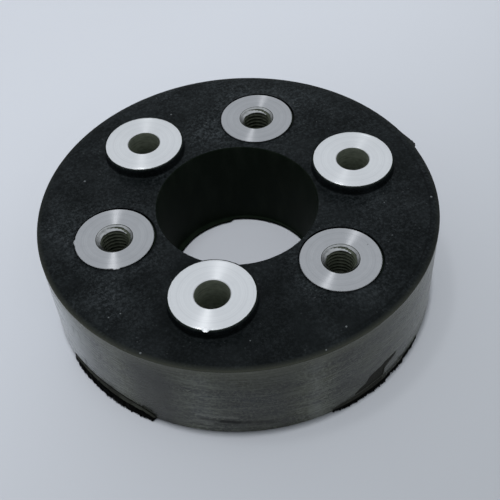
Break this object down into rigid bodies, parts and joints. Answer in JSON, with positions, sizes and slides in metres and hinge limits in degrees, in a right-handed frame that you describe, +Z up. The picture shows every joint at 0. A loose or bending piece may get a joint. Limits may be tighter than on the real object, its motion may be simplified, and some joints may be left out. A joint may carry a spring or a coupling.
{
  "type": "engine coupling",
  "caption": "Flexible engine coupling: a thick rubber ring with a wide centre bore, holding plain and threaded metal bushes in turn on one bolt circle.",
  "frame": {"origin": "on the coupling's axis, in the plane of the bushes' lower ends, which the coupling rests on", "axes": "+Z up along the axis, towards the ends of the plain bushes that stand out of the rubber; +Y through a threaded bush; -Y through a plain bush; +X to the right of both"},
  "size_m": [0.1504, 0.1504, 0.0438],
  "materials": {
    "rubber": "moulded, dusty top and glossy outer wall",
    "aluminium": "lathe-turned"
  },
  "bodies": {
    "root": {"rubber_ring": "rubber", "plain_bush_1": "aluminium", "plain_bush_2": "aluminium", "plain_bush_3": "aluminium", "threaded_bush_1": "aluminium", "threaded_bush_2": "aluminium", "threaded_bush_3": "aluminium"}
  },
  "joints": []
}
